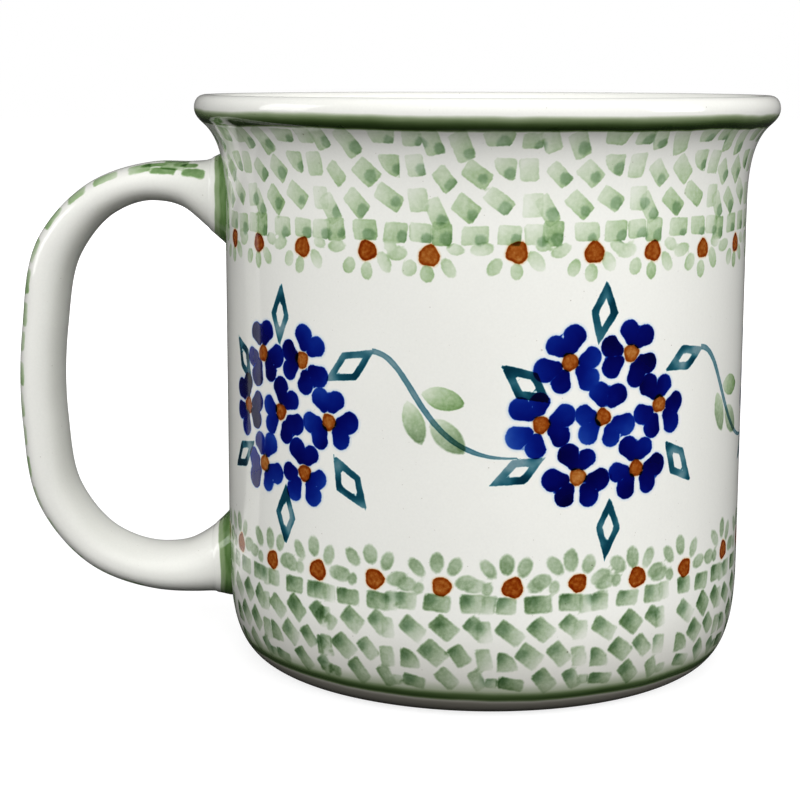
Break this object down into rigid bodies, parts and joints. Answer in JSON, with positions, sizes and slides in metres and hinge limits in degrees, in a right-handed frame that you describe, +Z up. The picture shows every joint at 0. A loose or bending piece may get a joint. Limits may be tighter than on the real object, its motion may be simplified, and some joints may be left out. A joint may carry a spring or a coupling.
{
  "type": "mug",
  "caption": "Straight-sided glazed stoneware mug with a flared, rolled lip, a strap handle and a foot ring, painted with a folk flower band.",
  "frame": {"origin": "on the mug's turning axis at table height, under the centre of the recessed underside", "axes": "+Z up along the mug's axis, -X towards the handle, +Y to the back when the handle is on the left"},
  "size_m": [0.1293, 0.098, 0.096],
  "materials": {
    "glazed_body": "clear gloss glaze over underglaze stamps and brushwork",
    "glazed_handle": "clear gloss glaze with short green brush dashes",
    "painted_slip_upper": "clear gloss glaze over a green brushed ring",
    "painted_slip_lower": "clear gloss glaze over a green brushed ring"
  },
  "bodies": {
    "root": {"mug_body": "glazed_body", "handle": "glazed_handle", "upper_slip_joint": "painted_slip_upper", "lower_slip_joint": "painted_slip_lower"}
  },
  "joints": []
}
